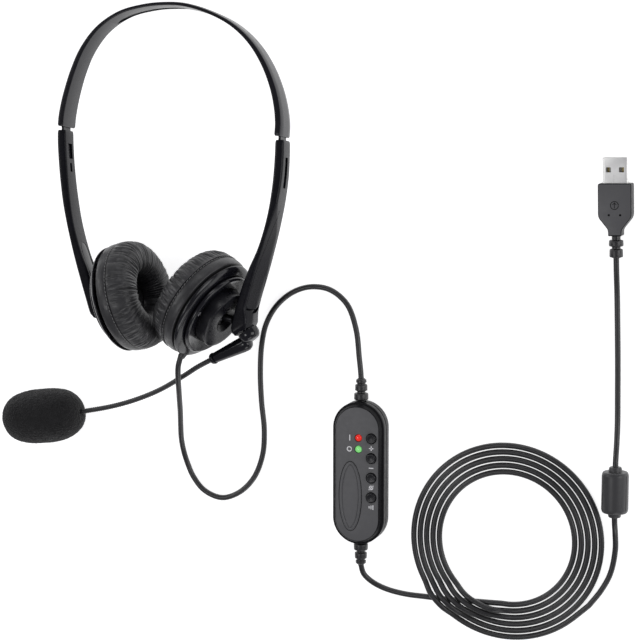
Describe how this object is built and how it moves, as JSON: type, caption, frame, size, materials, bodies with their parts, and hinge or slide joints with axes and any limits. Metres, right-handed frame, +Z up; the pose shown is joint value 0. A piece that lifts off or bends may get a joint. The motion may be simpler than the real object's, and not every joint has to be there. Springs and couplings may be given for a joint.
{
  "type": "office headset",
  "caption": "Over-head stereo headset with a microphone boom, ball-jointed ear cups, adjustable band, inline control box and coiled cable with a flat plug.",
  "frame": {"origin": "under the middle of the headset and its control box, on the surface they lie on; loose cables and the plug are not counted", "axes": "+Y towards the top of the headband, +Z up from the table, +X towards the cable side"},
  "size_m": [0.3256, 0.3136, 0.0566],
  "materials": {
    "black_satin": "satin",
    "black_gloss": "polished",
    "leatherette": "wrinkled satin",
    "mic_foam": "open-cell foam",
    "cord_rubber": "satin",
    "steel": "turned",
    "nickel": "plated",
    "circuit_board": "satin",
    "led_red": "lens",
    "led_green": "lens",
    "acoustic_mesh": "woven",
    "contact_plastic": "matte"
  },
  "bodies": {
    "right_cup": {"right_back_shell": "black_gloss", "right_back_disc": "black_gloss", "right_hub": "black_satin", "right_cup_screw": "steel", "right_baffle": "black_satin", "right_driver": "steel", "right_driver_mesh": "acoustic_mesh", "right_cushion_ring": "leatherette", "right_cushion": "leatherette", "cord_gland": "cord_rubber", "controller_base": "black_satin", "controller_cover": "black_satin", "controller_board": "circuit_board", "controller_trim_ring": "black_gloss", "led_red": "led_red", "led_green": "led_green", "headset_cord": "cord_rubber", "controller_inlet_relief": "cord_rubber", "controller_outlet_relief": "cord_rubber", "usb_cord_start": "cord_rubber", "usb_cord_coil": "cord_rubber", "usb_cord_middle": "cord_rubber", "ferrite_bead": "black_satin", "usb_cord_end": "cord_rubber", "plug_grip": "black_satin", "plug_shell": "nickel", "plug_tongue": "contact_plastic"},
    "right_liner": {"right_ball_liner": "black_satin"},
    "right_arm": {"right_arm": "black_satin", "right_arm_cover": "black_gloss", "right_ball_stud": "steel", "boom_pin": "steel"},
    "headband": {"headband": "black_gloss", "right_slider_strip": "black_satin", "left_slider_strip": "black_satin"},
    "left_arm": {"left_arm": "black_satin", "left_arm_inlay": "black_gloss", "left_ball_stud": "steel"},
    "left_liner": {"left_ball_liner": "black_satin"},
    "left_cup": {"left_back_shell": "black_gloss", "left_back_disc": "black_gloss", "left_hub": "black_satin", "left_cup_screw": "steel", "left_baffle": "black_satin", "left_driver": "steel", "left_driver_mesh": "acoustic_mesh", "left_cushion_ring": "leatherette", "left_cushion": "leatherette"},
    "boom": {"boom_base": "black_satin", "boom_collar": "black_gloss", "boom_tube": "cord_rubber", "mic_capsule": "steel", "mic_foam": "mic_foam"},
    "volume_up_button": {"volume_up_button": "black_satin"},
    "volume_down_button": {"volume_down_button": "black_satin"},
    "mic_mute_button": {"mic_mute_button": "black_satin"},
    "sound_mute_button": {"sound_mute_button": "black_satin"}
  },
  "joints": [
    {"name": "right_swivel", "type": "hinge", "parent": "right_cup", "child": "right_liner", "pos_m": [0.02194, -0.01886, 0.02948], "axis": [0.5258, 0.8426, -0.1164], "range_deg": [-15, 0]},
    {"name": "right_tilt", "type": "hinge", "parent": "right_liner", "child": "right_arm", "pos_m": [0.02194, -0.01886, 0.02948], "axis": [0.0064, -0.1408, -0.99], "range_deg": [0, 13]},
    {"name": "right_slide", "type": "slide", "parent": "right_arm", "child": "headband", "axis": [0.0172, 0.9899, -0.1406], "range_m": [0, 0.02]},
    {"name": "left_slide", "type": "slide", "parent": "headband", "child": "left_arm", "axis": [0.1069, -0.9843, 0.1406], "range_m": [0, 0.02]},
    {"name": "left_tilt", "type": "hinge", "parent": "left_arm", "child": "left_liner", "pos_m": [-0.03363, -0.01414, 0.02846], "axis": [0.0064, -0.1408, -0.99], "range_deg": [0, 10]},
    {"name": "left_swivel", "type": "hinge", "parent": "left_liner", "child": "left_cup", "pos_m": [-0.03363, -0.01414, 0.02846], "axis": [-0.2415, 0.9605, -0.1381], "range_deg": [-8, 6]},
    {"name": "boom_swing", "type": "hinge", "parent": "right_arm", "child": "boom", "pos_m": [0.0376, -0.02648, 0.02916], "axis": [0.6, -0.7915, 0.1164], "range_deg": [0, 65]},
    {"name": "volume_up_press", "type": "slide", "parent": "right_cup", "child": "volume_up_button", "axis": [0, 0, -1], "range_m": [0, 0.0008], "stiffness_N_per_m": 250},
    {"name": "volume_down_press", "type": "slide", "parent": "right_cup", "child": "volume_down_button", "axis": [0, 0, -1], "range_m": [0, 0.0008], "stiffness_N_per_m": 250},
    {"name": "mic_mute_press", "type": "slide", "parent": "right_cup", "child": "mic_mute_button", "axis": [0, 0, -1], "range_m": [0, 0.0008], "stiffness_N_per_m": 250},
    {"name": "sound_mute_press", "type": "slide", "parent": "right_cup", "child": "sound_mute_button", "axis": [0, 0, -1], "range_m": [0, 0.0008], "stiffness_N_per_m": 250}
  ]
}
